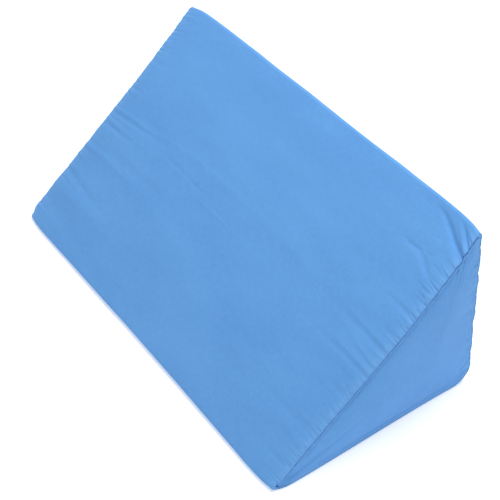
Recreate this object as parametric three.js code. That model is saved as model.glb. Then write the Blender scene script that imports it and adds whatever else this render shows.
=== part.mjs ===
// A wedge pillow: a foam wedge in a fitted woven cover, lying on its base with the slope up.
// Millimetres. X runs along the length, Y from the thin toe to the upright back, Z up from the floor.
// The cover is three cut pieces: one wrap panel that goes round base, back and slope in one length, and a
// triangular panel sewn into each end. The foam and its wrap panel are one filled solid, and each end
// panel is a thin crowned sheet that lies on the end of it, with a sunk seam all round.
import * as THREE from 'three';

// Overall sizes of the filled cover
const SEAM_SPAN = 500; // from one end seam to the other
const DEPTH = 259.5; // from the toe to the crown of the back
const HEIGHT = 205; // from the floor to the ridge

// Rounded edges of the cross-section
const TOE_RADIUS = 3;
const HEEL_RADIUS = 21;
const RIDGE_RADIUS = 4;

// How far the faces stand proud at their middles
const BACK_CROWN = 2;
const SLOPE_CROWN = 2.5;
const END_CROWN = 3.5;
const END_FULLNESS = 0.6; // below 1 the end crown rises quickly from its edge and is flatter on top

// The taut cloth draws the edges in
const TOE_HOLLOW = 2.5; // of the middle of the toe, towards the back
const END_DRAW_IN = 3; // of slope and back at the end seams, so the ridge drops towards its ends
const END_DRAW_REACH = 15;
const SEAM_HOLD = 0.6; // share of the creases that the taut seams keep flat
const SEAM_HOLD_REACH = 8;

// End seams
const ARRIS_RADIUS = 2.5; // roll of the wrap panel over the foam's end edge, on which the seam lies
const ARRIS_TURN = THREE.MathUtils.degToRad(50);
const ARRIS_STEPS = 4;
const SEAM_SINK = 1.4; // depth of the channel in which the seam lies
const SEAM_WIDTH = 0.7; // from the lip of the wrap panel to the bottom of the channel
const LIP_WIDTH = 0.6; // from the channel up to the lip of the end panel
const STRIP_WIDTH = 6.5; // sloping strip of the end panel beside its seam
const STRIP_FALL = 1.6; // along the slope
const EDGE_FALL = 0.5; // of the strip along base and back
const EDGE_REACH = 25; // inward of the strip, over which the two become even

// How far the end seams stand out along the length: at their corners, and at most over each face. blunt:
// how far the sewn corner at the toe is blunted along the length.
const SEAM_BOWS = [
  { end: -1, toe: 1.8, heel: 0, ridge: 5, base: 2.4, back: -1, slope: -0.5, blunt: 4 },
  { end: 1, toe: -0.4, heel: 2.7, ridge: -9, base: 2.1, back: -2.6, slope: 1.1, blunt: 2 },
];
const BOW_REACH = 60; // how far in from the seam its bow dies out
const BLUNT_REACH = 8; // how far from the toe its sewn corners are blunt

// Where the rings of points lie: along half of the length, and inward over the dome of an end
const STATIONS = [0, 66, 124, 170, 202, 224, 238];
const DOME_INSETS = [15, 26, 40, 53];

// End panels
const PANEL_THICKNESS = 2;
const CLEARANCE = 0.35; // between two pieces

const BLUE = 0x66a2e0;
const CLOTH_ROUGHNESS = 0.85;

// Main creases. panel: which face. end: 1 for the +X end, -1 for the -X end. down: distance from the
// ridge, along the face, at which the crease meets the seam. reach: how far it runs in from the seam.
// rise: how much nearer to the ridge its inner tip lies. width and depth: of its soft trough. fold: height
// of the soft fold that lies beside the trough, on the ridge side where positive, else on the other.
const CREASES = [
  { panel: 'slope', end: 1, down: 36, reach: 44, rise: 24, width: 9, depth: 2.4, fold: 0.9 },
  { panel: 'slope', end: 1, down: 86, reach: 84, rise: 15, width: 11, depth: 0.9, fold: 0.7 },
  { panel: 'slope', end: 1, down: 154.4, reach: 120, rise: 10, width: 9, depth: 0.6, fold: 0.4 },
  { panel: 'slope', end: 1, down: 183, reach: 90, rise: 4, width: 9, depth: 0.6, fold: 0.4 },
  { panel: 'slope', end: 1, down: 260.5, reach: 100, rise: -4, width: 11, depth: 0.6, fold: -0.4 },
  { panel: 'slope', end: 1, down: 302, reach: 70, rise: 3, width: 9, depth: 0.6, fold: 0.3 },
  { panel: 'slope', end: -1, down: 126, reach: 50, rise: 5, width: 9, depth: 0.7, fold: 0.3 },
  { panel: 'slope', end: -1, down: 165, reach: 190, rise: 5, width: 9, depth: 0.8, fold: -0.5 },
  { panel: 'slope', end: -1, down: 210, reach: 130, rise: 12, width: 12, depth: 1.2, fold: -0.7 },
  { panel: 'slope', end: -1, down: 254, reach: 140, rise: -8, width: 12, depth: 1.1, fold: 0.8 },
  { panel: 'slope', end: -1, down: 296, reach: 60, rise: 2, width: 9, depth: 0.7, fold: 0.4 },
  { panel: 'back', end: 1, down: 58, reach: 60, rise: -6, width: 12, depth: 0.8, fold: 0.4 },
  { panel: 'back', end: 1, down: 128, reach: 95, rise: 8, width: 12, depth: 0.9, fold: -0.5 },
  { panel: 'back', end: -1, down: 44, reach: 70, rise: 9, width: 12, depth: 0.9, fold: 0.4 },
  { panel: 'back', end: -1, down: 141, reach: 85, rise: -5, width: 12, depth: 0.8, fold: 0.5 },
];

// Sharp triangle whose rounded form has the overall depth and height. Its radii cut a little off the toe
// and the ridge, and those two losses depend on its angles, so its size is settled in a few passes.
function sharpTriangle() {
  const backY = DEPTH / 2 - BACK_CROWN;
  let depth = DEPTH - BACK_CROWN;
  let height = HEIGHT;
  for (let pass = 0; pass < 8; pass++) {
    const toeAngle = Math.atan2(height, depth);
    const ridgeAngle = Math.PI / 2 - toeAngle;
    depth = DEPTH - BACK_CROWN + TOE_RADIUS * (1 / Math.tan(toeAngle / 2) - 1);
    height = HEIGHT + RIDGE_RADIUS * (1 / Math.tan(ridgeAngle / 2) - 1);
  }
  return {
    toe: new THREE.Vector2(backY - depth, 0),
    heel: new THREE.Vector2(backY, 0),
    ridge: new THREE.Vector2(backY, height),
  };
}

const SHARP = sharpTriangle();
const SIDES = {
  base: SHARP.toe.distanceTo(SHARP.heel),
  back: SHARP.heel.distanceTo(SHARP.ridge),
  slope: SHARP.ridge.distanceTo(SHARP.toe),
};
const PERIMETER = SIDES.base + SIDES.back + SIDES.slope;
// Centre and radius of the circle inside the triangle: scaling the outline about this centre by
// 1 - inset / INRADIUS moves every side in by that inset.
const INRADIUS = (SIDES.base * SIDES.back) / PERIMETER;
const CENTRE = new THREE.Vector2(SHARP.heel.x - INRADIUS, INRADIUS);

// Rounded corners and faces in turn round the outline, anticlockwise as seen from +X
const CORNERS = [
  { name: 'toe', at: SHARP.toe, radius: TOE_RADIUS, steps: 6, hollow: TOE_HOLLOW },
  { name: 'heel', at: SHARP.heel, radius: HEEL_RADIUS, steps: 5, hollow: 0 },
  { name: 'ridge', at: SHARP.ridge, radius: RIDGE_RADIUS, steps: 6, hollow: 0 },
];
// The higher a face's pull, the sooner the bows of its corners die out along it
const FACES = [
  { name: 'base', steps: 12, crown: 0, drawIn: 0, pull: 4, wave: (t) => Math.sin(Math.PI * t ** 0.45) },
  { name: 'back', steps: 26, crown: BACK_CROWN, drawIn: 1, pull: 3, wave: (t) => Math.sin(Math.PI * t) },
  { name: 'slope', steps: 66, crown: SLOPE_CROWN, drawIn: 1, pull: 4, wave: (t) => Math.sin(2 * Math.PI * t) },
];
const HOLLOW_FADE = 7; // the higher, the sooner the toe's hollow dies out along base and slope
const SLIDE_FADE = 12; // the same, for the slide along a face that follows a corner drawn in

// Bow of both end seams at the share t of face i, which has the given length and starts at its first corner
function bowsOnFace(i, t, length) {
  const first = CORNERS[i].name;
  const last = CORNERS[(i + 1) % CORNERS.length].name;
  const fromToe = { base: length * t, back: Infinity, slope: length * (1 - t) }[FACES[i].name];
  const blunted = Math.exp(-Math.pow(fromToe / BLUNT_REACH, 2));
  const pull = FACES[i].pull;
  return SEAM_BOWS.map((bows) => {
    const pulled = bows[first] * Math.pow(1 - t, pull) + bows[last] * Math.pow(t, pull);
    return pulled + bows[FACES[i].name] * FACES[i].wave(t) - bows.blunt * blunted;
  });
}

// Shift that moves a sharp corner along with its two faces, when these move in by the given amounts
function cornerShift(normalA, inA, normalB, inB) {
  const det = normalA.x * normalB.y - normalA.y * normalB.x;
  return new THREE.Vector2(
    (normalA.y * inB - normalB.y * inA) / det,
    (normalB.x * inA - normalA.x * inB) / det,
  );
}

// Points of the outline, anticlockwise from +X. Each has its place, its outward normal, its distance down
// from the ridge along its face, and how bow, crown, hollow and draw-in act on it.
function outline() {
  const points = [];
  const count = CORNERS.length;
  const directions = CORNERS.map((corner, i) => {
    const next = CORNERS[(i + 1) % count];
    return next.at.clone().sub(corner.at).normalize();
  });
  const normals = directions.map((d) => new THREE.Vector2(d.y, -d.x));
  const tangents = CORNERS.map((corner, i) => {
    const turn = Math.acos(directions[(i + count - 1) % count].dot(directions[i]));
    return corner.radius * Math.tan(turn / 2);
  });
  const shifts = CORNERS.map((corner, i) => {
    const before = (i + count - 1) % count;
    return cornerShift(normals[before], FACES[before].drawIn, normals[i], FACES[i].drawIn);
  });
  CORNERS.forEach((corner, i) => {
    const before = (i + count - 1) % count;
    const start = Math.atan2(normals[before].y, normals[before].x);
    const turn = Math.acos(normals[before].dot(normals[i]));
    const arcCentre = corner.at
      .clone()
      .addScaledVector(directions[i], tangents[i])
      .addScaledVector(normals[i], -corner.radius);
    for (let step = 0; step < corner.steps; step++) {
      const share = step / corner.steps;
      const angle = start + turn * share;
      const normal = new THREE.Vector2(Math.cos(angle), Math.sin(angle));
      points.push({
        face: 'corner',
        place: arcCentre.clone().addScaledVector(normal, corner.radius),
        normal,
        down: 0,
        bows: SEAM_BOWS.map((bows) => bows[corner.name] - (corner.name === 'toe' ? bows.blunt : 0)),
        crown: 0,
        hollow: directions[i]
          .clone()
          .multiplyScalar(share)
          .addScaledVector(directions[before], share - 1)
          .setLength(corner.hollow),
        drawIn: shifts[i],
      });
    }
    const face = FACES[i];
    const next = (i + 1) % count;
    const length = CORNERS[next].at.distanceTo(corner.at) - tangents[i] - tangents[next];
    for (let step = 0; step < face.steps; step++) {
      const t = step / face.steps;
      const place = corner.at.clone().addScaledVector(directions[i], tangents[i] + length * t);
      points.push({
        face: face.name,
        place,
        normal: normals[i],
        down: place.distanceTo(SHARP.ridge),
        bows: bowsOnFace(i, t, length),
        crown: face.crown * Math.sin(Math.PI * t),
        hollow: directions[i]
          .clone()
          .multiplyScalar(corner.hollow * Math.pow(1 - t, HOLLOW_FADE))
          .addScaledVector(directions[i], -CORNERS[next].hollow * Math.pow(t, HOLLOW_FADE)),
        drawIn: normals[i]
          .clone()
          .multiplyScalar(-face.drawIn)
          .addScaledVector(directions[i], shifts[i].dot(directions[i]) * Math.pow(1 - t, SLIDE_FADE))
          .addScaledVector(directions[i], shifts[next].dot(directions[i]) * Math.pow(t, SLIDE_FADE)),
      });
    }
  });
  return points;
}

const OUTLINE = outline();

// Depth of the creases at a point of a face
function creaseDepth(face, x, down) {
  let depth = 0;
  for (const crease of CREASES) {
    const inFromSeam = SEAM_SPAN / 2 - x * crease.end;
    if (crease.panel !== face || inFromSeam > crease.reach) continue;
    const along = Math.max(0, inFromSeam / crease.reach);
    const off = (down - crease.down + crease.rise * along) / (crease.width / 2);
    const beside = off + 1.7 * Math.sign(crease.fold);
    const trough = crease.depth * Math.exp(-off * off);
    const fold = Math.abs(crease.fold) * Math.exp(-beside * beside);
    depth += (trough - fold) * (1 - along * along);
  }
  return depth;
}

// Profile of an end, in distance out from the seam and inset
const LIP_INSET = ARRIS_RADIUS * (1 - Math.cos(ARRIS_TURN));
const LIP_OUT = -ARRIS_RADIUS * (1 - Math.sin(ARRIS_TURN));
const CHANNEL_INSET = LIP_INSET + SEAM_WIDTH;
const CHANNEL_OUT = LIP_OUT - SEAM_SINK;
const STRIP_INSET = CHANNEL_INSET + LIP_WIDTH + STRIP_WIDTH;
const STRIP_OUT = LIP_OUT - STRIP_FALL;

// Height of an end panel's crown over its strip: smooth, and nil along the strip's inner edge
function endCrown(y, z) {
  const toeAngle = Math.atan2(SIDES.back, SIDES.base);
  const fromSides = [
    z,
    SHARP.heel.x - y,
    (y - SHARP.toe.x) * Math.sin(toeAngle) - z * Math.cos(toeAngle),
  ];
  let share = 1;
  for (const distance of fromSides) share *= Math.max(0, distance - STRIP_INSET) / (INRADIUS - STRIP_INSET);
  return (END_CROWN + STRIP_FALL) * Math.pow(share, END_FULLNESS);
}

// A point of the cover: outline point o taken to x along the length and moved in by inset. Rows of an end
// panel inside its strip are domed, by 1 at the +X end and -1 at the other.
function coverPoint(o, { x, inset, domed = 0 }) {
  const scale = 1 - inset / INRADIUS;
  const fromSeam = Math.max(0, SEAM_SPAN / 2 - Math.abs(x));
  const middle = 1 - Math.pow((2 * x) / (SEAM_SPAN + 2 * END_CROWN), 2);
  const held = 1 - SEAM_HOLD * Math.exp(-fromSeam / SEAM_HOLD_REACH);
  const offset = o.crown * middle - held * creaseDepth(o.face, x, o.down);
  const across = o.place
    .clone()
    .addScaledVector(o.normal, offset)
    .addScaledVector(o.hollow, middle)
    .addScaledVector(o.drawIn, END_DRAW_IN * Math.exp(-fromSeam / END_DRAW_REACH));
  const y = CENTRE.x + (across.x - CENTRE.x) * scale;
  const z = CENTRE.y + (across.y - CENTRE.y) * scale;
  const bow = x < 0 ? -o.bows[0] : o.bows[1];
  const bowed = bow * Math.pow(scale, 3) * Math.exp(-fromSeam / BOW_REACH);
  const edge = o.face === 'slope' ? 0 : (STRIP_FALL - EDGE_FALL) * Math.exp((STRIP_INSET - inset) / EDGE_REACH);
  return [x + bowed + domed * (endCrown(y, z) + edge), y, z];
}

// Sweeps a profile of rows round the outline. It starts and ends at the centre, where the outline closes
// to one point, so the result is one closed body. Four points in two rings are joined by two triangles,
// along one diagonal or the other, so that two pieces that face each other can be split in the same way.
function sweep(profile, otherDiagonal = false) {
  const round = OUTLINE.length;
  const rings = profile.slice(1, -1);
  const positions = [];
  positions.push(...coverPoint(OUTLINE[0], profile[0]));
  for (const row of rings) {
    for (const o of OUTLINE) positions.push(...coverPoint(o, row));
  }
  positions.push(...coverPoint(OUTLINE[0], profile[profile.length - 1]));
  const at = (ring, i) => 1 + ring * round + (i % round);
  const lastPole = 1 + rings.length * round;
  const index = [];
  for (let i = 0; i < round; i++) {
    index.push(0, at(0, i + 1), at(0, i));
    for (let ring = 0; ring + 1 < rings.length; ring++) {
      const a = at(ring, i);
      const b = at(ring, i + 1);
      const c = at(ring + 1, i + 1);
      const d = at(ring + 1, i);
      if (otherDiagonal) index.push(a, b, d, b, c, d);
      else index.push(a, b, c, a, c, d);
    }
    index.push(lastPole, at(rings.length - 1, i), at(rings.length - 1, i + 1));
  }
  const geometry = new THREE.BufferGeometry();
  geometry.setAttribute('position', new THREE.Float32BufferAttribute(positions, 3));
  geometry.setIndex(index);
  geometry.computeVertexNormals();
  return geometry;
}

// Rows of a profile over an end's dome, from the strip to the centre, sunk by under below its face
function domeRows(end, under) {
  const x = end * (SEAM_SPAN / 2 + STRIP_OUT - under);
  return [STRIP_INSET, ...DOME_INSETS, INRADIUS].map((inset) => ({ x, inset, domed: end }));
}

// Half of the filled body's profile, from its middle to the centre of one end
function bodyHalf(end) {
  const half = SEAM_SPAN / 2;
  const profile = STATIONS.map((x) => ({ x: end * x, inset: 0 }));
  for (let step = 0; step <= ARRIS_STEPS; step++) {
    const angle = (ARRIS_TURN * step) / ARRIS_STEPS;
    profile.push({
      x: end * (half - ARRIS_RADIUS * (1 - Math.sin(angle))),
      inset: ARRIS_RADIUS * (1 - Math.cos(angle)),
    });
  }
  const under = PANEL_THICKNESS + CLEARANCE;
  profile.push({ x: end * (half + CHANNEL_OUT), inset: CHANNEL_INSET });
  profile.push({ x: end * (half + CHANNEL_OUT - under), inset: CHANNEL_INSET + CLEARANCE });
  return [...profile, ...domeRows(end, under)];
}

// The foam in its wrap panel
function filledWrap() {
  const left = bodyHalf(-1).slice(1).reverse();
  return sweep([...left, ...bodyHalf(1)]);
}

// A triangular end panel: its face from the centre to the seam, then its underside back to the centre
function endPanel(end) {
  const half = SEAM_SPAN / 2;
  const rim = CHANNEL_INSET + CLEARANCE;
  const profile = [
    ...domeRows(end, 0).reverse(),
    { x: end * (half + LIP_OUT), inset: rim + LIP_WIDTH },
    { x: end * (half + CHANNEL_OUT), inset: rim },
    { x: end * (half + CHANNEL_OUT - PANEL_THICKNESS), inset: rim + CLEARANCE },
    ...domeRows(end, PANEL_THICKNESS),
  ];
  return sweep(end > 0 ? profile.reverse() : profile, true);
}

function namedMesh(name, geometry) {
  const cloth = new THREE.MeshStandardMaterial({ color: BLUE, roughness: CLOTH_ROUGHNESS, metalness: 0 });
  const mesh = new THREE.Mesh(geometry, cloth);
  mesh.name = name;
  return mesh;
}

const pillow = new THREE.Group();
pillow.add(namedMesh('filled_wrap', filledWrap()));
pillow.add(namedMesh('end_panel_right', endPanel(1)));
pillow.add(namedMesh('end_panel_left', endPanel(-1)));

// The origin is on the floor, under the middle of the pillow's box
const middle = new THREE.Box3().setFromObject(pillow).getCenter(new THREE.Vector3());
for (const mesh of pillow.children) mesh.geometry.translate(-middle.x, -middle.y, 0);

export default pillow;
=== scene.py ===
import math

import bpy
import numpy as np
from mathutils import Matrix, Vector


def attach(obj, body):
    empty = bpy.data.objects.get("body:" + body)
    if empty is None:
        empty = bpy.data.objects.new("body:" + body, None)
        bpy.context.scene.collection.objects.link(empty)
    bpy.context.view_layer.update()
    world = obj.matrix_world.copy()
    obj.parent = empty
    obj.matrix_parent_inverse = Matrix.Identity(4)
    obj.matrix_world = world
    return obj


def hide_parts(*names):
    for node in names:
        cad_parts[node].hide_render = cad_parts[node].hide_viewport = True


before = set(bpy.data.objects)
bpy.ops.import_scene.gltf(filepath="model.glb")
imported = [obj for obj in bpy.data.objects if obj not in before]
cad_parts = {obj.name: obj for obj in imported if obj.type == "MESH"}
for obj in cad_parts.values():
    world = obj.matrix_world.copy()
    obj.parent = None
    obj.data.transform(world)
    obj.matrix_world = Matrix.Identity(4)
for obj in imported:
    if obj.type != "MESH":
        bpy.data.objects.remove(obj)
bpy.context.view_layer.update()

# Overall sizes, in millimetres
SEAM_SPAN = 500.0
DEPTH = 259.5
HEIGHT = 205.0
TOE_RADIUS, HEEL_RADIUS, RIDGE_RADIUS = 3.0, 21.0, 4.0
BACK_CROWN, SLOPE_CROWN, END_CROWN = 2.0, 2.5, 3.5
END_FULLNESS = 0.6
# The taut cloth draws the middle of the toe back, and slope and back in at their ends
TOE_HOLLOW, HOLLOW_FADE = 2.5, 7
END_DRAW_IN, END_DRAW_REACH, SLIDE_FADE = 3.0, 15.0, 12
# The seam lies on the arris, in a narrow channel, between the wrap panel's roll and the end panel's lip
ARRIS_RADIUS = 2.5
ARRIS_TURN = math.radians(50)
SEAM_SINK, SEAM_WIDTH, LIP_WIDTH = 1.4, 0.7, 0.6
STRIP_WIDTH, STRIP_FALL = 6.5, 1.6
# Along base and back the strip falls less, with a smooth change inwards, and the channel is shallower
EDGE_FALL, EDGE_REACH, EDGE_LIFT = 0.5, 25.0, 1.1
PANEL_THICKNESS, CLEARANCE = 2.0, 0.35
# The seam allowances inside lift the wrap panel beside its seams
RIM_HEIGHT, RIM_PLACE, RIM_REACH = 0.7, 2.0, 3.6
# Slow unevenness of foam and cloth, with the size of its patches along the length and round the section
UNEVENNESS = [
    {"height": 0.45, "long": 70, "wide": 55, "shift": (9, 9), "seed": 3},
    {"height": 0.26, "long": 30, "wide": 15, "shift": (20, 30), "seed": 5},
]
PANEL_UNEVENNESS = {"height": 0.3, "size": 40, "shift": 9, "seed": 60}

# Bows of the left and right end seams along the length, at corners and at most over each face. blunt: how
# far the sewn corner at the toe is blunted.
SEAM_BOWS = [
    {"toe": 1.8, "heel": 0.0, "ridge": 5.0, "base": 2.4, "back": -1.0, "slope": -0.5, "blunt": 4.0},
    {"toe": -0.4, "heel": 2.7, "ridge": -9.0, "base": 2.1, "back": -2.6, "slope": 1.1, "blunt": 2.0},
]
BOW_REACH = 60.0
BLUNT_REACH = 8.0

# Where the middle of the pillow's box lies along Y in these measures: the frame's origin is under it
MIDDLE_Y = 0.69


def seamed(width, height, *path):
    """A crease that starts at a seam and fades out inwards."""
    return {"width": width, "height": height, "path": path, "seamed": True}


def free(width, height, *path):
    """A crease that fades out at both ends."""
    return {"width": width, "height": height, "path": path, "seamed": False}


# A crease is wider at its start and narrows to its end. The powers shape how it fades.
START_WIDTH, NARROWING = 1.25, 0.5
SEAMED_POWER, FREE_POWER = 0.4, 0.7
# The taut seam holds the creases of slope and back down beside it
HELD_DOWN, HELD_DOWN_REACH = 0.4, 4

# Creases of the slope: width of the soft trough or fold, height of the fold, or less than 0 for a trough,
# and points (x along the length, down from the ridge) from the seam inwards
SLOPE_CREASES = [
    # right end, by the ridge
    seamed(6.5, -3.4, (251, 38), (244, 36), (232, 31), (218, 23), (205, 17), (188, 13)),
    seamed(5, 1.3, (251, 31), (243, 27), (232, 20), (217, 9)),
    seamed(4, -2.8, (251, 25), (244, 22), (228, 10)),
    free(11, 0.8, (216, 38), (218, 55)),
    free(7, -0.6, (206, 47), (211, 57)),
    free(11, 0.35, (186, 38), (189, 54)),
    free(6, -0.95, (242, 78), (225, 69), (215, 63), (206, 58), (194, 59), (178, 57)),
    seamed(9, 0.6, (251, 87), (239, 82), (222, 73), (209, 66), (192, 65), (174, 69), (150, 72)),
    seamed(4, -0.6, (251, 46), (231, 41)),
    seamed(4, -0.5, (251, 56), (235, 52)),
    seamed(4, -0.8, (251, 64), (225, 60)),
    seamed(4, -0.5, (251, 73), (235, 69)),
    seamed(5, -0.5, (251, 99), (230, 93)),
    # right end, below
    seamed(4, 0.38, (251, 109), (216, 105)),
    seamed(5, -0.6, (251, 113), (225, 111), (200, 110)),
    seamed(5, -0.38, (251, 137), (227, 136)),
    seamed(5, 0.45, (251, 151), (209, 147), (183, 145), (155, 144)),
    seamed(6, -0.68, (251, 156), (227, 154), (209, 153), (176, 152)),
    seamed(5, 0.38, (251, 172), (218, 166), (200, 160), (168, 158)),
    seamed(5, -0.45, (251, 176), (204, 168)),
    seamed(5, 0.45, (251, 180), (186, 175)),
    seamed(6, -0.6, (251, 184), (218, 182), (192, 183), (152, 182)),
    seamed(5, 0.22, (251, 218), (186, 213)),
    seamed(5, -0.38, (251, 243), (230, 242)),
    seamed(8, -0.52, (251, 260), (200, 261), (146, 262)),
    seamed(11, 0.52, (251, 274), (220, 273), (178, 272)),
    free(7, -0.3, (188, 292), (154, 293)),
    seamed(6, -0.45, (251, 300), (209, 303)),
    # left end
    seamed(5, -0.56, (-251, 41), (-238, 41)),
    seamed(5, 0.4, (-251, 66), (-223, 57)),
    seamed(4, -0.4, (-251, 101), (-236, 100)),
    seamed(5, -0.72, (-251, 127), (-222, 126)),
    seamed(5, -0.48, (-251, 137), (-234, 136)),
    seamed(4, -0.4, (-251, 147), (-236, 146)),
    seamed(5, 0.64, (-251, 161), (-213, 155), (-187, 154), (-173, 152), (-154, 149), (-140, 145),
           (-112, 141)),
    seamed(6, -0.8, (-251, 166), (-226, 163), (-190, 159), (-160, 155)),
    seamed(4, -0.4, (-251, 173), (-226, 170), (-190, 167)),
    seamed(4, 0.48, (-251, 176), (-213, 174), (-176, 172)),
    seamed(5, -0.72, (-251, 181), (-212, 180), (-176, 176)),
    seamed(5, -0.56, (-251, 211), (-220, 208)),
    free(12, -0.56, (-232, 205), (-182, 202), (-150, 200), (-90, 200)),
    seamed(7, 0.64, (-251, 217), (-226, 213), (-190, 212), (-168, 213), (-138, 210)),
    seamed(4, -0.48, (-251, 220), (-222, 221)),
    seamed(4, 0.32, (-251, 232), (-220, 230)),
    seamed(5, 0.48, (-251, 248), (-226, 247)),
    seamed(8, -0.96, (-251, 254), (-213, 256), (-182, 260), (-138, 261)),
    seamed(5, -0.56, (-251, 265), (-210, 266)),
    seamed(13, 0.72, (-251, 274), (-206, 275), (-173, 273), (-138, 276), (-108, 275), (-70, 273)),
    seamed(5, -0.64, (-251, 296), (-230, 295)),
    seamed(5, -0.48, (-251, 307), (-232, 308)),
    # along the middle
    free(9, 0.25, (150, 148), (123, 145), (100, 142), (65, 140), (-25, 139), (-94, 140), (-150, 147)),
    free(5, -0.35, (-154, 162), (-129, 161), (-94, 161), (-68, 163), (-20, 160)),
    free(5, 0.25, (-75, 172), (-25, 171), (25, 172)),
    free(26, -0.5, (-60, 92), (60, 88), (150, 96)),
]

# Creases of the back, in the same terms
BACK_CREASES = [
    seamed(10, -1.35, (251, 60), (190, 54)),
    seamed(9, 0.75, (251, 70), (205, 66)),
    seamed(11, -1.5, (251, 128), (156, 136)),
    seamed(10, 0.75, (251, 118), (180, 122)),
    seamed(7, -0.9, (251, 168), (214, 172)),
    seamed(7, -1.2, (251, 25), (226, 33)),
    seamed(10, -1.5, (-251, 45), (-180, 54)),
    seamed(9, 0.9, (-251, 34), (-205, 40)),
    seamed(7, -0.75, (-251, 92), (-214, 90)),
    seamed(10, -1.35, (-251, 141), (-165, 136)),
    seamed(9, 0.9, (-251, 151), (-196, 148)),
    free(26, -0.9, (-80, 100), (70, 108)),
]

# Creases of the end panels, right and left, with points (depth along Y, height along Z)
END_CREASES = {
    1: [
        seamed(5, 1.0, (127, 44), (106, 26)),
        seamed(5, -1.0, (127, 37), (108, 20)),
        seamed(5, 1.0, (127, 30), (102, 11)),
        seamed(5, -0.8, (125, 18), (104, 6)),
        seamed(6, 0.5, (124, 8), (104, 14), (88, 2)),
        seamed(7, -0.5, (127, 52), (98, 37)),
        seamed(6, 0.66, (126, 70), (100, 73)),
        seamed(6, -0.76, (126, 88), (102, 97)),
        seamed(6, 0.66, (126, 106), (98, 119)),
        seamed(6, -0.76, (126, 120), (94, 140)),
        seamed(6, 0.66, (126, 132), (96, 155)),
        free(14, 0.2, (-95, 6), (-39, 34), (-15, 40), (41, 58), (60, 62)),
    ],
    -1: [
        seamed(7, -0.8, (127, 26), (98, 12)),
        seamed(7, 0.5, (127, 40), (102, 24)),
        seamed(7, -0.5, (126, 118), (106, 112)),
        free(12, 0.5, (-105, 12), (-30, 30), (40, 60)),
        free(14, -0.4, (-60, 40), (0, 60), (60, 110)),
    ],
}

# Fine puckers that the stitches pull into the cloth beside a seam, from the smallest to the widest.
# spacing: between puckers along the seam. reach: how far they run in. height: of the largest. held: share
# that the stitches keep flat right at the seam.
PUCKERS = [
    {"spacing": 3.6, "reach": 9, "height": 1.25, "held": 0.65, "seed": 11},
    {"spacing": 6.5, "reach": 18, "height": 0.5, "held": 0, "seed": 23},
    {"spacing": 13.0, "reach": 38, "height": 0.32, "held": 0, "seed": 37},
    {"spacing": 30.0, "reach": 90, "height": 0.42, "held": 0, "seed": 41},
]
HELD_REACH = 1.44
# Troughs are deeper than folds by this share to either side
TROUGH_BIAS = 0.3
# How long a pucker is before it turns into the next one, in reaches, and how it fades inwards
PUCKER_LENGTH, PUCKER_POWER = 1.6, 1.3
# A pucker's lean changes over 5 spacings. Every 40 mm a seam has stronger and weaker stretches.
LEAN_CHANGE, LEAN_SPACINGS = 0.25, 5
EVEN_STRENGTH, STRENGTH_CHANGE, STRENGTH_LENGTH = 0.75, 0.35, 40
# Puckers by the ridge lean down towards their seam, most of all this far below it, those below hardly
LEAST_LEAN, MORE_LEAN, LEAN_PLACE, LEAN_REACH = 0.06, 0.4, 25, 45
PANEL_LEAN = 0.15
# Puckers are weaker on the back, and on the slope by this share below the given distance from the ridge
BACK_PUCKERS = 0.5
LOW_LOSS, LOW_FROM, LOW_FADE = 0.35, 115, 12
# Share of them that shows on an end panel beside its base, back and slope seams
PANEL_PUCKERS = (0.5, 0.9, 0.3)


# Camera at the photograph's angle
def set_camera(azimuth, elevation, roll, distance, focal_px, aside, above):
    az, el, ro = (math.radians(a) for a in (azimuth, elevation, roll))
    back = Vector((math.sin(az) * math.cos(el), -math.cos(az) * math.cos(el), math.sin(el)))
    right = Vector((math.cos(az), math.sin(az), 0.0))
    up = back.cross(right)
    turned_right = right * math.cos(ro) + up * math.sin(ro)
    turned_up = up * math.cos(ro) - right * math.sin(ro)
    bpy.ops.object.camera_add()
    camera = bpy.context.object
    camera.name = "photo_angle"
    place = back * distance - turned_right * aside - turned_up * above
    axes = Matrix((turned_right, turned_up, back)).transposed().to_4x4()
    camera.matrix_world = Matrix.Translation(place) @ axes
    camera.data.sensor_width = 36.0
    camera.data.lens = 36.0 * focal_px / 500.0
    camera.data.clip_end = 50.0
    bpy.context.scene.camera = camera


set_camera(azimuth=55.39, elevation=43.36, roll=-1.17, distance=1.390,
           focal_px=1226, aside=-0.0181, above=-0.0464)


# Section of the wedge
def sharp_triangle():
    """Sharp triangle whose rounded form has the overall depth and height."""
    back_y = DEPTH / 2 - BACK_CROWN
    depth, height = DEPTH - BACK_CROWN, HEIGHT
    for _ in range(8):
        toe_angle = math.atan2(height, depth)
        ridge_angle = math.pi / 2 - toe_angle
        depth = DEPTH - BACK_CROWN + TOE_RADIUS * (1 / math.tan(toe_angle / 2) - 1)
        height = HEIGHT + RIDGE_RADIUS * (1 / math.tan(ridge_angle / 2) - 1)
    return {
        "toe": np.array((back_y - depth, 0.0)),
        "heel": np.array((back_y, 0.0)),
        "ridge": np.array((back_y, height)),
    }


SHARP = sharp_triangle()
BASE = SHARP["heel"][0] - SHARP["toe"][0]
RISE = SHARP["ridge"][1]
TOE_ANGLE = math.atan2(RISE, BASE)
INRADIUS = BASE * RISE / (BASE + RISE + math.hypot(BASE, RISE))
CENTRE = np.array((SHARP["heel"][0] - INRADIUS, INRADIUS))

CORNERS = [
    {"name": "toe", "radius": TOE_RADIUS, "hollow": TOE_HOLLOW, "steps": 12},
    {"name": "heel", "radius": HEEL_RADIUS, "hollow": 0.0, "steps": 14},
    {"name": "ridge", "radius": RIDGE_RADIUS, "hollow": 0.0, "steps": 14},
]
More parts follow.
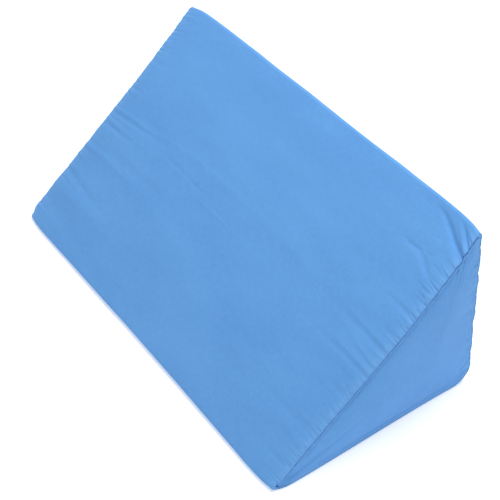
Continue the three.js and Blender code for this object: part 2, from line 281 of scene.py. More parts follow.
# draw_in: 1 where the seams draw the face in. pull: how soon the bow of a corner dies out over the face.
# wave: how the seam's own bow runs over the face.
FACES = [
    {"name": "base", "crown": 0.0, "draw_in": 0.0, "steps": 36, "pull": 4,
     "wave": lambda t: math.sin(math.pi * t ** 0.45)},
    {"name": "back", "crown": BACK_CROWN, "draw_in": 1.0, "steps": 190, "pull": 3,
     "wave": lambda t: math.sin(math.pi * t)},
    {"name": "slope", "crown": SLOPE_CROWN, "draw_in": 1.0, "steps": 380, "pull": 4,
     "wave": lambda t: math.sin(2 * math.pi * t)},
]
# Stands for a distance from the toe on the back, or from the ridge on the base: farther than anything reaches
FAR = 900.0


def bows_on_face(i, t, length):
    """Bows of the left and right seams at the share t of the face after corner i."""
    first, last = CORNERS[i]["name"], CORNERS[(i + 1) % 3]["name"]
    from_toe = {0: length * t, 1: FAR, 2: length * (1 - t)}[i]
    blunted = math.exp(-((from_toe / BLUNT_REACH) ** 2))
    pull = FACES[i]["pull"]
    bows = []
    for seam in SEAM_BOWS:
        pulled = seam[first] * (1 - t) ** pull + seam[last] * t ** pull
        bows.append(pulled + seam[FACES[i]["name"]] * FACES[i]["wave"](t) - seam["blunt"] * blunted)
    return bows


def corner_shift(a, in_a, b, in_b):
    """Shift of a sharp corner when the two faces with normals a and b move in."""
    det = a[0] * b[1] - a[1] * b[0]
    return np.array(((a[1] * in_b - b[1] * in_a) / det, (b[0] * in_a - a[0] * in_b) / det))


def outline():
    """Points round the section, anticlockwise from +X, each with what acts on it. slope_down and back_down
    are its distances from the ridge along slope and back. lift is 1 where creases show and 0 on the base."""
    keys = ("y", "z", "ny", "nz", "slope_down", "back_down", "lift", "crown", "hollow_y", "hollow_z",
            "draw_y", "draw_z", "bow_left", "bow_right")
    ways = [SHARP[CORNERS[(i + 1) % 3]["name"]] - SHARP[CORNERS[i]["name"]] for i in range(3)]
    sides = [float(np.hypot(*way)) for way in ways]
    ways = [way / side for way, side in zip(ways, sides)]
    normals = [np.array((way[1], -way[0])) for way in ways]
    turns = [math.acos(float(np.dot(ways[i - 1], ways[i]))) for i in range(3)]
    tangents = [CORNERS[i]["radius"] * math.tan(turns[i] / 2) for i in range(3)]
    arcs = [CORNERS[i]["radius"] * turns[i] for i in range(3)]
    draws = [face["draw_in"] for face in FACES]
    shifts = [corner_shift(normals[i - 1], draws[i - 1], normals[i], draws[i]) for i in range(3)]
    over_ridge = 2 * tangents[2] - arcs[2]
    rows = []
    for i, corner in enumerate(CORNERS):
        at, radius, face, after = SHARP[corner["name"]], corner["radius"], FACES[i], (i + 1) % 3
        start = math.atan2(normals[i - 1][1], normals[i - 1][0])
        middle = at + ways[i] * tangents[i] - normals[i] * radius
        for step in range(corner["steps"]):
            share = step / corner["steps"]
            eased = share * share * (3 - 2 * share)
            n = np.array((math.cos(start + turns[i] * share), math.sin(start + turns[i] * share)))
            p = middle + n * radius
            if corner["name"] == "toe":
                slope_down, lift = sides[2] - tangents[0] + arcs[0] * share, 1 - eased
            elif corner["name"] == "heel":
                slope_down, lift = over_ridge - sides[1] + tangents[1] - arcs[1] * (1 - share), eased
            else:
                slope_down, lift = tangents[2] - arcs[2] * (1 - share), 1.0
            inward = ways[i] * share - ways[i - 1] * (1 - share)
            inward = inward / np.hypot(*inward) * corner["hollow"]
            rows.append((*p, *n, slope_down, over_ridge - slope_down, lift, 0.0, *inward, *shifts[i],
                         *(seam[corner["name"]] - seam["blunt"] * (i == 0) for seam in SEAM_BOWS)))
        length = sides[i] - tangents[i] - tangents[after]
        for step in range(face["steps"]):
            t = step / face["steps"]
            p = at + ways[i] * (tangents[i] + length * t)
            down = float(np.hypot(*(p - SHARP["ridge"])))
            slope_down = {"base": FAR, "back": over_ridge - down, "slope": down}[face["name"]]
            fades = (1 - t) ** HOLLOW_FADE, t ** HOLLOW_FADE
            inward = ways[i] * (corner["hollow"] * fades[0] - CORNERS[after]["hollow"] * fades[1])
            slide = float(shifts[i] @ ways[i]) * (1 - t) ** SLIDE_FADE
            slide += float(shifts[after] @ ways[i]) * t ** SLIDE_FADE
            rows.append((*p, *normals[i], slope_down, over_ridge - slope_down, float(face["name"] != "base"),
                         face["crown"] * math.sin(math.pi * t), *inward,
                         *(ways[i] * slide - normals[i] * face["draw_in"]), *bows_on_face(i, t, length)))
    table = {key: np.array([float(row[k]) for row in rows]) for k, key in enumerate(keys)}
    steps = np.hypot(np.diff(table["y"], append=table["y"][0]), np.diff(table["z"], append=table["z"][0]))
    table["girth"] = np.concatenate(([0.0], np.cumsum(steps)[:-1]))
    table["whole_girth"] = float(steps.sum())
    return table


OUTLINE = outline()
ROUND = len(OUTLINE["y"])
SLOPE_LENGTH = math.hypot(BASE, RISE)
# 1 along the slope, 0 along base and back, with a short change below the ridge and above the toe
SLOPE_FROM, SLOPE_CHANGE = 2, 6
ON_SLOPE = np.clip((OUTLINE["slope_down"] - SLOPE_FROM) / SLOPE_CHANGE, 0, 1)
ON_SLOPE = ON_SLOPE * np.clip((SLOPE_LENGTH - OUTLINE["slope_down"]) / SLOPE_CHANGE, 0, 1)


# Relief of the cloth
def soft_noise(u, v, seed):
    """Smooth seeded noise between -1 and 1, one bump to a unit."""
    lattice = np.random.RandomState(seed).uniform(-1, 1, (256, 256))
    iu, iv = np.floor(u).astype(int), np.floor(v).astype(int)
    fu, fv = u - iu, v - iv
    fu, fv = fu * fu * (3 - 2 * fu), fv * fv * (3 - 2 * fv)
    iu, iv, ju, jv = iu % 256, iv % 256, (iu + 1) % 256, (iv + 1) % 256
    low = lattice[iu, iv] * (1 - fu) + lattice[ju, iv] * fu
    high = lattice[iu, jv] * (1 - fu) + lattice[ju, jv] * fu
    return low * (1 - fv) + high * fv


def crease_relief(a, b, creases):
    """Height of the creases at points (a, b) of a face."""
    total = np.zeros_like(a)
    for crease in creases:
        path = [np.array(p, float) for p in crease["path"]]
        lengths = [float(np.hypot(*(q - p))) for p, q in zip(path, path[1:])]
        whole = sum(lengths)
        nearest = np.full(a.shape, 1e9)
        share = np.zeros_like(a)
        run = 0.0
        for p, q, length in zip(path, path[1:], lengths):
            way = (q - p) / length
            along = (a - p[0]) * way[0] + (b - p[1]) * way[1]
            held = np.clip(along, 0, length)
            off = np.hypot(a - p[0] - way[0] * held, b - p[1] - way[1] * held)
            closer = off < nearest
            nearest = np.where(closer, off, nearest)
            share = np.where(closer, (run + held) / whole, share)
            run += length
        if crease["seamed"]:
            fade = np.sqrt(1 - share ** 2) * (1 - share) ** SEAMED_POWER
        else:
            fade = np.sin(math.pi * share) ** FREE_POWER
        half = crease["width"] / 2 * (START_WIDTH - NARROWING * share)
        total += crease["height"] * fade * np.exp(-((nearest / half) ** 2))
    return total


def pucker_relief(along, from_seam, lean, seed):
    """Height of the fine puckers at a place along a seam and a distance in from it."""
    total = np.zeros_like(from_seam)
    for pucker in PUCKERS:
        spacing, reach, first = pucker["spacing"], pucker["reach"], pucker["seed"] + seed
        turned = soft_noise(along / (spacing * LEAN_SPACINGS), along * 0 + 0.5, first + 100)
        at = along + (lean + LEAN_CHANGE * turned) * from_seam
        wave = soft_noise(at / spacing * 2, from_seam / (reach * PUCKER_LENGTH), first)
        wave = wave - TROUGH_BIAS * np.abs(wave)
        strength = soft_noise(along / STRENGTH_LENGTH, along * 0 + 0.3, first + 50)
        strength = EVEN_STRENGTH + STRENGTH_CHANGE * strength
        loose = 1 - pucker["held"] * np.exp(-((from_seam / HELD_REACH) ** 2))
        inwards = np.exp(-((from_seam / reach) ** PUCKER_POWER))
        total += loose * pucker["height"] * strength * wave * inwards
    return total


def wrap_relief(x):
    """Outward height of the wrap panel's cloth round the ring at x."""
    down = OUTLINE["slope_down"]
    xs = np.full(ROUND, float(x))
    from_right, from_left = (np.maximum(0, SEAM_SPAN / 2 - side * xs) for side in (1, -1))
    nearer = float(min(from_right[0], from_left[0]))
    creases = crease_relief(xs, down, SLOPE_CREASES) + crease_relief(xs, OUTLINE["back_down"], BACK_CREASES)
    total = (1 - HELD_DOWN * math.exp(-nearer / HELD_DOWN_REACH)) * creases
    lean = LEAST_LEAN + MORE_LEAN * np.exp(-np.abs(down - LEAN_PLACE) / LEAN_REACH)
    puckers = pucker_relief(down + 400, from_right, lean, 0) + pucker_relief(down + 400, from_left, lean, 7)
    low = 1 / (1 + np.exp((LOW_FROM - np.minimum(down, 400)) / LOW_FADE))
    total += puckers * (BACK_PUCKERS + (1 - BACK_PUCKERS) * ON_SLOPE) * (1 - LOW_LOSS * low)
    total += RIM_HEIGHT * math.exp(-(((nearer - RIM_PLACE) / RIM_REACH) ** 2))
    for patch in UNEVENNESS:
        along, across = patch["shift"]
        patches = soft_noise(xs / patch["long"] + along, down / patch["wide"] + across, patch["seed"])
        total += patch["height"] * patches
    return total * OUTLINE["lift"]


def from_sides(y, z):
    """Distances of points of a section from its base, back and slope, and their places along these."""
    run, rise = y - SHARP["toe"][0], z
    cos, sin = math.cos(TOE_ANGLE), math.sin(TOE_ANGLE)
    return ((z, y), (SHARP["heel"][0] - y, z), (run * sin - rise * cos, run * cos + rise * sin))


def end_crown(y, z):
    share = np.ones_like(y)
    for distance, _ in from_sides(y, z):
        share = share * np.maximum(0, distance - STRIP_INSET) / (INRADIUS - STRIP_INSET)
    return (END_CROWN + STRIP_FALL) * share ** END_FULLNESS


def edge_raise(y, z):
    """How much higher an end panel lies near base and back, fading inwards and towards the slope."""
    base, back, slope = (np.maximum(0.1, distance) for distance, _ in from_sides(y, z))
    faded = [1 - np.exp(-np.maximum(0, distance - STRIP_INSET) / EDGE_REACH) for distance in (base, back)]
    nearest = 1 / (1 / base ** 2 + 1 / back ** 2)
    return (STRIP_FALL - EDGE_FALL) * (1 - faded[0] * faded[1]) * slope ** 2 / (slope ** 2 + nearest)


def panel_relief(y, z, facing):
    """Outward height of an end panel's cloth."""
    patch = PANEL_UNEVENNESS
    places = [value / patch["size"] + patch["shift"] for value in (y, z)]
    total = crease_relief(y, z, END_CREASES[facing])
    total = total + patch["height"] * soft_noise(*places, patch["seed"] + facing)
    for k, (distance, along) in enumerate(from_sides(y, z)):
        into = np.maximum(0, distance - CHANNEL_INSET)
        seed = 20 * k + 13 * (2 + facing)
        total += PANEL_PUCKERS[k] * pucker_relief(along + 300, into, PANEL_LEAN, seed)
    return total


LIP_INSET = ARRIS_RADIUS * (1 - math.cos(ARRIS_TURN))
LIP_OUT = -ARRIS_RADIUS * (1 - math.sin(ARRIS_TURN))
CHANNEL_INSET = LIP_INSET + SEAM_WIDTH
CHANNEL_OUT = LIP_OUT - SEAM_SINK
STRIP_INSET = CHANNEL_INSET + LIP_WIDTH + STRIP_WIDTH
STRIP_OUT = LIP_OUT - STRIP_FALL
# Rings this far below and above the channel's floor lie in the channel
BELOW_FLOOR, ABOVE_FLOOR = 0.3, 0.01
# A panel's relief starts over this width from the channel, and an end's bow fades towards its middle
RELIEF_START, BOW_POWER = 4, 3


def cover_ring(x, inset, domed=0, facing=0):
    """One ring of points round the section: x along the length, moved in by inset. Rings of an end panel's
    face carry the panel's own relief."""
    o = OUTLINE
    scale = 1 - inset / INRADIUS
    from_seam = max(0.0, SEAM_SPAN / 2 - abs(x))
    middle = 1 - (2 * x / (SEAM_SPAN + 2 * END_CROWN)) ** 2
    offset = o["crown"] * middle + wrap_relief(x)
    draw = END_DRAW_IN * math.exp(-from_seam / END_DRAW_REACH)
    y = o["y"] + o["ny"] * offset + o["hollow_y"] * middle + o["draw_y"] * draw
    z = o["z"] + o["nz"] * offset + o["hollow_z"] * middle + o["draw_z"] * draw
    y = CENTRE[0] + (y - CENTRE[0]) * scale
    z = CENTRE[1] + (z - CENTRE[1]) * scale
    bow = -o["bow_left"] if x < 0 else o["bow_right"]
    xs = x + bow * scale ** BOW_POWER * math.exp(-from_seam / BOW_REACH) + domed * end_crown(y, z)
    above_channel = abs(x) - SEAM_SPAN / 2 - CHANNEL_OUT
    if -BELOW_FLOOR < above_channel < ABOVE_FLOOR and inset < CHANNEL_INSET + LIP_WIDTH:
        xs = xs + math.copysign(EDGE_LIFT, x) * (1 - ON_SLOPE)
    if facing or domed:
        share = min(1.0, max(0.0, (inset - CHANNEL_INSET - CLEARANCE - LIP_WIDTH) / STRIP_WIDTH))
        xs = xs + (facing or domed) * share * share * (3 - 2 * share) * edge_raise(y, z)
    if facing:
        into = max(0.0, inset - CHANNEL_INSET)
        xs = xs + facing * min(1.0, into / RELIEF_START) * panel_relief(y, z, facing)
    return np.stack((xs, y - MIDDLE_Y, np.maximum(0, z)), axis=1)


def sweep(name, rings, uvs, pull):
    """Closed mesh over rings of points, whose first and last close to their middles. Millimetres in.
    pull: for each ring, the share of painted light beside the seam where more than 0, of painted shade where
    less than 0, kept for the cloth's colour."""
    rings = np.array(rings)
    count = len(rings) - 2
    first_middle, last_middle = rings[0].mean(axis=0)[None], rings[-1].mean(axis=0)[None]
    points = np.vstack((first_middle, rings[1:-1].reshape(-1, 3), last_middle))
    i = np.arange(ROUND)
    j = (i + 1) % ROUND
    ends = np.stack((np.zeros(ROUND, int), 1 + j, 1 + i), axis=1)
    k = (np.arange(count - 1) * ROUND)[:, None]
    sides = np.stack((1 + k + i, 1 + k + j, 1 + k + ROUND + j, 1 + k + ROUND + i), axis=-1).reshape(-1, 4)
    top = 1 + (count - 1) * ROUND
    tips = np.stack((np.full(ROUND, len(points) - 1), top + i, top + j), axis=1)
    mesh = bpy.data.meshes.new(name)
    mesh.from_pydata(points / 1000.0, [], ends.tolist() + sides.tolist() + tips.tolist())
    uvs = np.array(uvs) / 1000.0
    row, col = np.arange(count - 1)[:, None] + 1, i[None]
    side_uvs = np.stack((uvs[row, col], uvs[row, col + 1], uvs[row + 1, col + 1], uvs[row + 1, col]), axis=2)
    end_uvs = np.stack((uvs[0, i], uvs[1, i + 1], uvs[1, i]), axis=1)
    tip_uvs = np.stack((uvs[-1, i], uvs[-2, i], uvs[-2, i + 1]), axis=1)
    flat = np.concatenate([part.reshape(-1) for part in (end_uvs, side_uvs, tip_uvs)])
    layer = mesh.uv_layers.new(name="cloth_metres")
    layer.data.foreach_set("uv", flat.astype(np.float32))
    # this attribute marks painted light and painted shade in the cloth's colour beside the seams
    pulled = mesh.attributes.new("painted_seam_light_and_shade", "FLOAT", "POINT")
    pulled.data.foreach_set("value", np.concatenate(([0.0], np.ravel(pull[1:-1]), [0.0])).astype(np.float32))
    mesh.update()
    piece = bpy.data.objects.new(name, mesh)
    bpy.context.scene.collection.objects.link(piece)
    for polygon in mesh.polygons:
        polygon.use_smooth = True
    return piece


def closed(values):
    """The values round a ring with the first one again at the end."""
    return np.append(values, values[:1], axis=0)


# Profiles of the ends. Steps between the rings along the length, and the gap that they leave in the middle.
FIRST_STEP, STEP_GROWTH, LONGEST_STEP, MIDDLE_GAP = 1.0, 0.045, 8.0, 3
# First step and its growth between the rings over an end: fine where it is seen, coarse inside
SEEN_STEPS, INSIDE_STEPS = (1.2, 0.13), (9.0, 3.0)
# The wrap panel's cloth stays flat until it turns down sharply into the seam: distances out from the seam
# plane and insets
TURN_DOWN = [(-2.0, 0.02), (-1.4, 0.1), (-0.9, 0.26), (-0.55, 0.52), (-0.42, 0.8), (-0.6, 1.12), (-1.1, 1.36)]
# The seam allowance runs on under the end panel's edge, a little deeper and farther in
ALLOWANCE_DOWN, ALLOWANCE_IN = 0.15, 0.05
# The end panel's lip turns down into the seam: distances out from the lip and insets from the rim
LIP_TURN = [(-0.15, 0.25), (-0.6, 0.08)]
STRIP_RINGS = 5


def stations():
    """Distances in from the seam plane of the rings along half of the length."""
    places, d = [], ARRIS_RADIUS
    while d < SEAM_SPAN / 2 - MIDDLE_GAP:
        places.append(d)
        d += min(LONGEST_STEP, FIRST_STEP + STEP_GROWTH * (d - ARRIS_RADIUS))
    return places


def dome_insets(first_step, growth):
    """Insets of the rings over the dome of an end, closer near its edge."""
    insets, inset, step = [], STRIP_INSET, first_step
    while inset < INRADIUS - 2:
        insets.append(inset)
        inset += step
        step += growth
    return insets + [INRADIUS]


def body_rows(end):
    """Rings of the filled wrap from near its middle to one end: place along X, inset, facing of the dome."""
    half = SEAM_SPAN / 2
    rows = [(end * (half - d), 0.0, 0) for d in reversed(stations())]
    rows += [(end * (half + out), inset, 0) for out, inset in TURN_DOWN]
    rows.append((end * (half + CHANNEL_OUT), CHANNEL_INSET, 0))
    rows.append((end * (half + CHANNEL_OUT - ALLOWANCE_DOWN), CHANNEL_INSET + CLEARANCE + ALLOWANCE_IN, 0))
    under = PANEL_THICKNESS + CLEARANCE
    rows.append((end * (half + CHANNEL_OUT - under), CHANNEL_INSET + CLEARANCE, 0))
    for inset in dome_insets(*INSIDE_STEPS):
        rows.append((end * (half + STRIP_OUT - under), inset, end))
    return rows


def panel_rows(end):
    """Rings of an end panel from its face's middle round its edge to its inner side's middle, as above, and
    with the facing of the relief."""
    half, rim = SEAM_SPAN / 2, CHANNEL_INSET + CLEARANCE
    lip = rim + LIP_WIDTH
    rows = [(end * (half + STRIP_OUT), inset, end, end) for inset in reversed(dome_insets(*SEEN_STEPS))]
    for step in range(STRIP_RINGS - 1, 0, -1):
        t = step / STRIP_RINGS
        fall = STRIP_FALL * t * t * (3 - 2 * t)
        rows.append((end * (half + LIP_OUT - fall), lip + (STRIP_INSET - lip) * t, 0, end))
    rows.append((end * (half + LIP_OUT), lip, 0, end))
    rows += [(end * (half + LIP_OUT + out), rim + inset, 0, 0) for out, inset in LIP_TURN]
    rows.append((end * (half + CHANNEL_OUT), rim, 0, 0))
    rows.append((end * (half + CHANNEL_OUT - PANEL_THICKNESS), rim + CLEARANCE, 0, 0))
    for inset in dome_insets(*INSIDE_STEPS):
        rows.append((end * (half + STRIP_OUT - PANEL_THICKNESS), inset, end, 0))
    return rows


# Pieces. How far the painted light and painted shade beside a seam reach into its cloth, and the power that
# shapes their fading.
WRAP_PAINTED_LIGHT, PANEL_PAINTED_LIGHT_AND_SHADE = (9, 2.2), (5.5, 3)


def build_wrap():
    rows = list(reversed(body_rows(-1))) + body_rows(1)
    rings = [cover_ring(x, inset, domed) for x, inset, domed in rows]
    girth = np.append(OUTLINE["girth"], OUTLINE["whole_girth"])
    uvs = [np.stack((np.full(ROUND + 1, x), girth), axis=1) for x, _, _ in rows]
    reach, power = WRAP_PAINTED_LIGHT
    # painted light on the wrap beside its end seams
    beside = [math.exp(-(((SEAM_SPAN / 2 - abs(x)) / reach) ** power)) for x, _, _ in rows]
    pull = [np.full(ROUND, share) for share in beside]
    return sweep("wrap_panel_filled", rings, uvs, pull)


def build_end(name, end):
    rows = panel_rows(end)
    if end > 0:
        rows = list(reversed(rows))
    rings = [cover_ring(x, inset, domed, facing) for x, inset, domed, facing in rows]
    uvs = [closed(ring[:, 1:]) for ring in rings]
    reach, power = PANEL_PAINTED_LIGHT_AND_SHADE
    beside = [math.exp(-((max(0.0, inset - CHANNEL_INSET) / reach) ** power)) for _, inset, _, _ in rows]
    # painted shade beside the slope seam, painted light beside the base and back seams
    pull = [(1 - 2 * ON_SLOPE) * share for share in beside]
    return sweep(name, rings, uvs, pull)


wrap = build_wrap()
right_end = build_end("end_panel_sewn_right", 1)
left_end = build_end("end_panel_sewn_left", -1)


# Stitches, in metres: one to each pitch, of thread that is 1.1 mm thick where it lies high
STITCH_PITCH, STITCH_LENGTH = 0.003, 0.0023
THREAD_RADIUS, THREAD_ROUNDING = 0.00055, 0.0003
# Thickness of the thread at the ends of the slope, as a share, and how much of ON_SLOPE a stitch needs
THIN_END, STITCHED_FROM = 0.3, 0.3
# Where it lies high and where deep, in millimetres: distance in from the seam plane, and inset
HIGH_SEAT, DEEP_SEAT = (0.95, 1.85), (1.15, 1.75)


def build_stitches(name, end):
    """Thread that shows in the seam along the slope: one stitch is modelled, then copied along it."""
    bpy.ops.object.select_all(action="DESELECT")
    bpy.ops.mesh.primitive_cylinder_add(vertices=8, radius=THREAD_RADIUS, depth=STITCH_LENGTH)
    model = bpy.context.object
    bpy.ops.object.mode_set(mode="EDIT")
    bpy.ops.mesh.select_all(action="SELECT")
    bpy.ops.mesh.bevel(offset=THREAD_ROUNDING, segments=2, affect="EDGES")
    bpy.ops.object.mode_set(mode="OBJECT")
    local = np.array([tuple(v.co) for v in model.data.vertices])
    faces = [tuple(p.vertices) for p in model.data.polygons]
    bpy.data.objects.remove(model)
    # along the slope the thread lies high, at the ends of the slope down in the seam
    high, deep = (closed(cover_ring(end * (SEAM_SPAN / 2 - inwards), inset))
                  for inwards, inset in (HIGH_SEAT, DEEP_SEAT))
    on_slope = closed(ON_SLOPE)
    ring = (deep + (high - deep) * on_slope[:, None]) / 1000.0
    steps = np.hypot(*np.diff(ring[:, 1:], axis=0).T)
    run = np.concatenate(([0.0], np.cumsum(steps)))
    number = int(run[-1] / STITCH_PITCH)
    places = (np.arange(number) + 0.5) * run[-1] / number
    places = places[np.interp(places, run, on_slope) > STITCHED_FROM]
    spots = np.stack([np.interp(places, run, ring[:, c]) for c in range(3)], axis=1)
    # 1 mm farther on, for the direction of each stitch
    ahead = np.stack([np.interp((places + 0.001) % run[-1], run, ring[:, c]) for c in range(3)], axis=1)
    thickness = THIN_END + (1 - THIN_END) * np.interp(places, run, on_slope)
    points, polygons = [], []
    for spot, front, thick in zip(spots, ahead, thickness):
        along = (front - spot) / np.linalg.norm(front - spot)
        out = np.array((end * 1.0, 0.0, 0.0))
        out = out - along * out.dot(along)
        out = out / np.linalg.norm(out)
        side = np.cross(along, out)
        base = len(points)
        points += [spot + (side * v[0] + out * v[1]) * thick + along * v[2] for v in local]
        polygons += [tuple(base + k for k in f) for f in faces]
    mesh = bpy.data.meshes.new(name)
    mesh.from_pydata([tuple(p) for p in points], [], polygons)
    mesh.update()
    piece = bpy.data.objects.new(name, mesh)
    bpy.context.scene.collection.objects.link(piece)
    for polygon in mesh.polygons:
        polygon.use_smooth = True
    return piece


right_stitches = build_stitches("seam_stitches_right", 1)
left_stitches = build_stitches("seam_stitches_left", -1)


# Materials
def linear(hex_colour):
    parts = [int(hex_colour[k:k + 2], 16) / 255 for k in (1, 3, 5)]
    return tuple(c / 12.92 if c <= 0.04045 else ((c + 0.055) / 1.055) ** 2.4 for c in parts) + (1.0,)


def add_node(tree, kind, settings=(), links=()):
    """Adds a node. Settings go to its sockets, or to its properties where it has no such socket."""
    node = tree.nodes.new(kind)
    for key, value in dict(settings).items():
        if isinstance(key, int) or key in node.inputs:
            node.inputs[key].default_value = value
        else:
            setattr(node, key, value)
    for key, source in dict(links).items():
        tree.links.new(source, node.inputs[key])
    return node


def new_material(name):
    material = bpy.data.materials.new(name)
    material.use_nodes = True
    material.node_tree.nodes.clear()
    return material, material.node_tree


# A wave texture's bands are 2 pi / 20 apart at scale 1, its diagonal ones about 15% more
BAND = 2 * math.pi / 20
# Threads of the cloth really lie 0.35 mm apart. They are drawn 0.8 mm apart, so that they show close up.
WEAVE_PITCH = 0.0008
TWIST_PITCH = 0.0006
# Noise bumps to the metre. Slubs are thicker stretches of single threads, about 1.4 mm wide and 9 mm long.
SLUB_ALONG, SLUB_ACROSS = 110.0, 700.0
# Dye takes a little unevenly, in streaks of about 100 by 40 mm
DYE_STREAKS = (10.0, 26.0, 26.0)
# How much of slubs and dye goes into the tone between the deep and the light blue
SLUB_TONE, DYE_TONE, TONE_SHIFT = 0.8, 0.9, -0.85
# How much of the painted light and of the painted shade beside the seams goes into the cloth's colour
PAINTED_LIGHT_SHARE, PAINTED_SHADE_SHARE = 0.55, 0.5
CLOTH_DEEP, CLOTH_LIGHT = "#5C98DA", "#69A8E7"
# Colours of the painted light and the painted shade beside the seams
CLOTH_PAINTED_LIGHT, CLOTH_PAINTED_SHADE = "#70AAE6", "#5890D4"
# Thread colours: the thread's own blue, deepened with painted shade of the seam's channel
THREAD_DEEP_WITH_SEAM_SHADE, THREAD_LIGHT_WITH_SEAM_SHADE = "#1E52A8", "#2F70CC"
FLOOR_GLOW = 0.31


def mixed(tree, share, first, second):
    """Colour between two hex colours. The first can be a socket instead."""
    plain = isinstance(first, str)
    node = add_node(tree, "ShaderNodeMix", {"data_type": "RGBA", "clamp_factor": True, 7: linear(second)},
                    {0: share} if plain else {0: share, 6: first})
    if plain:
        node.inputs[6].default_value = linear(first)
    return node.outputs[2]


def noise(tree, place, scale, detail):
    """Noise with so many bumps to the metre along X, Y and Z of place."""
    scaled = add_node(tree, "ShaderNodeMapping", {"Scale": scale}, {"Vector": place})
    bumps = add_node(tree, "ShaderNodeTexNoise", {"Scale": 1.0, "Detail": detail},
                     {"Vector": scaled.outputs[0]})
    return bumps.outputs["Fac"]


def threads_across(tree, place, direction):
    """Ridges of the threads that lie one beside the other in a direction of the cloth."""
    settings = {"bands_direction": direction, "Scale": BAND / WEAVE_PITCH,
                "Distortion": 1.2, "Detail": 1.0, "Detail Scale": 0.4}
    return add_node(tree, "ShaderNodeTexWave", settings, {"Vector": place}).outputs["Fac"]


def woven_polycotton():
    """Plain-woven polycotton, piece-dyed sky blue: matt, with a faint bloom and slight slubs, and painted
    light and painted shade beside its seams.
    """
    material, tree = new_material("plain_woven_polycotton_sky_blue")
    place = add_node(tree, "ShaderNodeUVMap", {"uv_map": "cloth_metres"}).outputs["UV"]
    warp, weft = threads_across(tree, place, "X"), threads_across(tree, place, "Y")
    weave = add_node(tree, "ShaderNodeMath", {"operation": "MAXIMUM"}, {0: warp, 1: weft})
    along = noise(tree, place, (SLUB_ALONG, SLUB_ACROSS, 1.0), 2.0)
    across = noise(tree, place, (SLUB_ACROSS, SLUB_ALONG, 1.0), 2.0)
    slubs = add_node(tree, "ShaderNodeMath", {"operation": "ADD"}, {0: along, 1: across})
    body = add_node(tree, "ShaderNodeTexCoord")
    dye = noise(tree, body.outputs["Object"], DYE_STREAKS, 3.0)
    tone = add_node(tree, "ShaderNodeMath", {"operation": "MULTIPLY_ADD", 1: SLUB_TONE, 2: TONE_SHIFT},
                    {0: slubs.outputs[0]})
    tone = add_node(tree, "ShaderNodeMath", {"operation": "MULTIPLY_ADD", 1: DYE_TONE},
                    {0: dye, 2: tone.outputs[0]})
    colour = mixed(tree, tone.outputs[0], CLOTH_DEEP, CLOTH_LIGHT)
    # Painted light in the colour beside the wrap's seams and along the end panels' base and back, painted
    # shade on the end panels beside the slope seams
    pull = add_node(tree, "ShaderNodeAttribute", {"attribute_name": "painted_seam_light_and_shade"}).outputs["Fac"]
    painted_light, painted_shade = (
        add_node(tree, "ShaderNodeMath", {"operation": "MULTIPLY", 1: share, "use_clamp": True}, {0: pull})
        for share in (PAINTED_LIGHT_SHARE, -PAINTED_SHADE_SHARE))
    painted_lit_colour = mixed(tree, painted_light.outputs[0], colour, CLOTH_PAINTED_LIGHT)
    shaded = mixed(tree, painted_shade.outputs[0], painted_lit_colour, CLOTH_PAINTED_SHADE)
    threads = add_node(tree, "ShaderNodeBump", {"Strength": 0.35, "Distance": 0.00012},
                       {"Height": weave.outputs[0]})
    lumps = add_node(tree, "ShaderNodeBump", {"Strength": 0.5, "Distance": 0.00016},
                     {"Height": slubs.outputs[0], "Normal": threads.outputs[0]})
    shader = add_node(tree, "ShaderNodeBsdfPrincipled",
                      {"Roughness": 0.86, "IOR": 1.5, "Specular IOR Level": 0.25, "Sheen Weight": 0.12,
                       "Sheen Roughness": 0.45, "Sheen Tint": (0.85, 0.92, 1.0, 1.0)},
                      {"Base Color": shaded, "Normal": lumps.outputs[0]})
    add_node(tree, "ShaderNodeOutputMaterial", (), {"Surface": shader.outputs[0]})
    return material


def spun_thread():
    """Spun polyester sewing thread in a deeper blue than the cloth, partly the thread's own colour and partly
    painted shade of the seam's channel: fine twisted strands with a soft gloss.
    """
    material, tree = new_material("spun_polyester_thread_with_painted_seam_shade")
    place = add_node(tree, "ShaderNodeTexCoord")
    twist = add_node(tree, "ShaderNodeTexWave", {"bands_direction": "DIAGONAL", "Scale": BAND / TWIST_PITCH},
                     {"Vector": place.outputs["Object"]}).outputs["Fac"]
    bump = add_node(tree, "ShaderNodeBump", {"Strength": 0.4, "Distance": 0.0001}, {"Height": twist})
    colour = mixed(tree, twist, THREAD_DEEP_WITH_SEAM_SHADE, THREAD_LIGHT_WITH_SEAM_SHADE)
    shader = add_node(tree, "ShaderNodeBsdfPrincipled", {"Roughness": 0.55, "IOR": 1.5},
                      {"Base Color": colour, "Normal": bump.outputs[0]})
    add_node(tree, "ShaderNodeOutputMaterial", (), {"Surface": shader.outputs[0]})
    return material


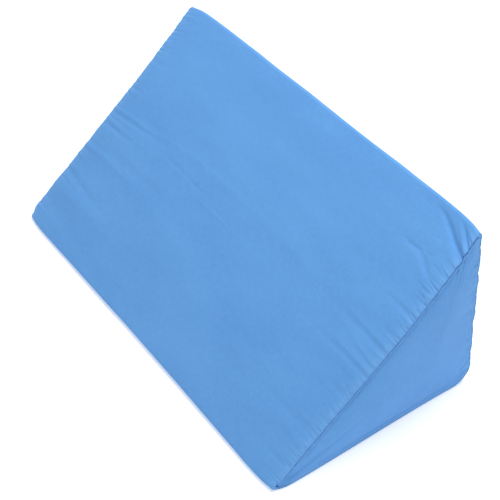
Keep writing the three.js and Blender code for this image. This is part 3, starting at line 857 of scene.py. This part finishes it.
def pale_floor():
    """Matt white acrylic of a studio's light table, faintly lit from below."""
    material, tree = new_material("matt_white_acrylic_light_table")
    grain = add_node(tree, "ShaderNodeTexNoise", {"Scale": 8.0, "Detail": 2.0})
    colour = add_node(tree, "ShaderNodeMix", {"data_type": "RGBA"}, {0: grain.outputs["Fac"]})
    colour.inputs[6].default_value = (0.93, 0.93, 0.93, 1.0)
    colour.inputs[7].default_value = (0.96, 0.96, 0.96, 1.0)
    shader = add_node(tree, "ShaderNodeBsdfPrincipled",
                      {"Roughness": 0.95, "Specular IOR Level": 0.1, "Emission Strength": FLOOR_GLOW,
                       "Emission Color": (1.0, 1.0, 1.0, 1.0)},
                      {"Base Color": colour.outputs[2]})
    add_node(tree, "ShaderNodeOutputMaterial", (), {"Surface": shader.outputs[0]})
    return material


cloth = woven_polycotton()
thread = spun_thread()
for piece in (wrap, right_end, left_end):
    piece.data.materials.append(cloth)
for piece in (right_stitches, left_stitches):
    piece.data.materials.append(thread)

# What each piece stands for
for piece, node in ((wrap, "filled_wrap"), (right_end, "end_panel_right"), (left_end, "end_panel_left")):
    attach(piece, "root")
    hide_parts(node)
for piece in (right_stitches, left_stitches):
    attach(piece, "root")

# Floor and light. The floor lies a little below the pillow, so that their faces don't fight.
FLOOR_SIZE, FLOOR_DROP = 16.0, 0.0004
LIT_POINT = (0, 0, 0.1)
WORLD_STRENGTH = 0.54
bpy.ops.mesh.primitive_plane_add(size=FLOOR_SIZE, location=(0, 0, -FLOOR_DROP))
floor = bpy.context.object
floor.name = "studio_floor"
floor.data.materials.append(pale_floor())


def soft_light(name, place, size, power, colour):
    """Square soft box that faces the pillow."""
    bpy.ops.object.light_add(type="AREA", location=place)
    lamp = bpy.context.object
    lamp.name = name
    lamp.data.shape = "RECTANGLE"
    lamp.data.size = lamp.data.size_y = size
    lamp.data.energy = power
    lamp.data.color = colour
    lamp.rotation_euler = (Vector(LIT_POINT) - Vector(place)).to_track_quat("-Z", "Y").to_euler()


soft_light("soft_box_above", place=(0.0, 0.6, 1.7), size=1.0, power=23.0, colour=(1.0, 1.0, 1.0))
soft_light("weak_fill_on_the_right", place=(2.0, -0.6, 0.9), size=1.2, power=1.7, colour=(0.72, 0.84, 1.0))

world = bpy.data.worlds.new("white_studio")
bpy.context.scene.world = world
world.use_nodes = True
world.node_tree.nodes["Background"].inputs["Color"].default_value = (1.0, 1.0, 1.0, 1.0)
world.node_tree.nodes["Background"].inputs["Strength"].default_value = WORLD_STRENGTH
bpy.context.scene.view_settings.view_transform = "Standard"
bpy.context.scene.view_settings.look = "None"
